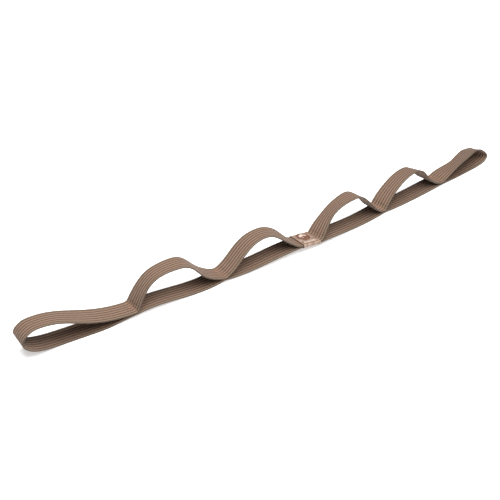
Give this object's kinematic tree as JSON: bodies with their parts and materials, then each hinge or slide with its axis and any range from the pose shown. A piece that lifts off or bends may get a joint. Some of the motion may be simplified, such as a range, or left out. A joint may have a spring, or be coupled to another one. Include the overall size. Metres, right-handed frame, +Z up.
{
  "type": "stretching strap",
  "caption": "Long elastic webbing strap lying on the floor, sewn at intervals into a row of arched loops between two end loops, with a wrapped label at its centre.",
  "frame": {"origin": "on the floor, under the middle of the strap's outline", "axes": "+X along the strap from the left end loop to the right one, +Y across it, +Z up"},
  "size_m": [1.0982, 0.072, 0.0663],
  "materials": {
    "webbing": "ribbed woven elastic webbing, taupe, with darker grooves and plain selvedges",
    "thread": "brown sewing thread",
    "label": "pale rose satin ribbon",
    "badge": "reddish-brown embossed patch",
    "plate": "pale pearly plate with a raised border"
  },
  "bodies": {
    "centre": {"centre_base": "webbing", "centre_top": "webbing", "label_wrap": "label", "label_badge": "badge", "label_plate": "plate", "label_stitching": "thread"},
    "loop_2_right": {"base_2_right": "webbing", "arch_2_right": "webbing"},
    "loop_2_left": {"base_2_left": "webbing", "arch_2_left": "webbing", "seam_2_stitches_right": "thread"},
    "loop_1_right": {"base_1_right": "webbing", "arch_1_right": "webbing", "seam_2_stitches_left": "thread"},
    "loop_1_left": {"base_1_left": "webbing", "arch_1_left": "webbing", "seam_1_stitches_right": "thread"},
    "left_end_inner": {"left_end_upper": "webbing", "left_end_lower": "webbing", "seam_1_stitches_left": "thread"},
    "left_end_outer": {"left_end_tip": "webbing"},
    "loop_3_left": {"base_3_left": "webbing", "arch_3_left": "webbing"},
    "loop_3_right": {"base_3_right": "webbing", "arch_3_right": "webbing", "seam_4_stitches_left": "thread"},
    "loop_4_left": {"base_4_left": "webbing", "arch_4_left": "webbing", "seam_4_stitches_right": "thread"},
    "loop_4_right": {"base_4_right": "webbing", "arch_4_right": "webbing", "seam_5_stitches_left": "thread"},
    "right_end_inner": {"right_end_upper": "webbing", "right_end_lower": "webbing", "seam_5_stitches_right": "thread"},
    "right_end_outer": {"right_end_tip": "webbing"}
  },
  "joints": [
    {"name": "fold_label_left", "type": "hinge", "parent": "centre", "child": "loop_2_right", "pos_m": [-0.01172, -0.01401, 0.01726], "axis": [0.0637, 0.998, 0], "range_deg": [-40, 40], "stiffness_Nm_per_rad": 0.02},
    {"name": "stretch_loop_2", "type": "slide", "parent": "loop_2_right", "child": "loop_2_left", "axis": [-0.9951, 0.0993, 0], "range_m": [0, 0.06], "stiffness_N_per_m": 400},
    {"name": "fold_seam_2", "type": "hinge", "parent": "loop_2_left", "child": "loop_1_right", "pos_m": [-0.17391, 0.00218, 0.0078], "axis": [0.0811, 0.9967, 0], "range_deg": [-40, 40], "stiffness_Nm_per_rad": 0.02},
    {"name": "stretch_loop_1", "type": "slide", "parent": "loop_1_right", "child": "loop_1_left", "axis": [-0.998, 0.0628, 0], "range_m": [0, 0.06], "stiffness_N_per_m": 400},
    {"name": "fold_seam_1", "type": "hinge", "parent": "loop_1_left", "child": "left_end_inner", "pos_m": [-0.34956, 0.01323, 0.0088], "axis": [0.0384, 0.9993, 0], "range_deg": [-40, 40], "stiffness_Nm_per_rad": 0.02},
    {"name": "stretch_left_end", "type": "slide", "parent": "left_end_inner", "child": "left_end_outer", "axis": [-0.9999, 0.014, 0], "range_m": [0, 0.06], "stiffness_N_per_m": 400},
    {"name": "fold_label_right", "type": "hinge", "parent": "centre", "child": "loop_3_left", "pos_m": [0.03326, -0.01526, 0.01134], "axis": [0.014, -0.9999, 0], "range_deg": [-40, 40], "stiffness_Nm_per_rad": 0.02},
    {"name": "stretch_loop_3", "type": "slide", "parent": "loop_3_left", "child": "loop_3_right", "axis": [0.9984, 0.0558, 0], "range_m": [0, 0.06], "stiffness_N_per_m": 400},
    {"name": "fold_seam_4", "type": "hinge", "parent": "loop_3_right", "child": "loop_4_left", "pos_m": [0.21099, -0.00533, 0.0063], "axis": [0.0462, -0.9989, 0], "range_deg": [-40, 40], "stiffness_Nm_per_rad": 0.02},
    {"name": "stretch_loop_4", "type": "slide", "parent": "loop_4_left", "child": "loop_4_right", "axis": [0.9993, 0.0366, 0], "range_m": [0, 0.06], "stiffness_N_per_m": 400},
    {"name": "fold_seam_5", "type": "hinge", "parent": "loop_4_right", "child": "right_end_inner", "pos_m": [0.38787, 0.00116, 0.0063], "axis": [0.0506, -0.9987, 0], "range_deg": [-40, 40], "stiffness_Nm_per_rad": 0.02},
    {"name": "stretch_right_end", "type": "slide", "parent": "right_end_inner", "child": "right_end_outer", "axis": [0.9979, 0.0645, 0], "range_m": [0, 0.06], "stiffness_N_per_m": 400}
  ]
}
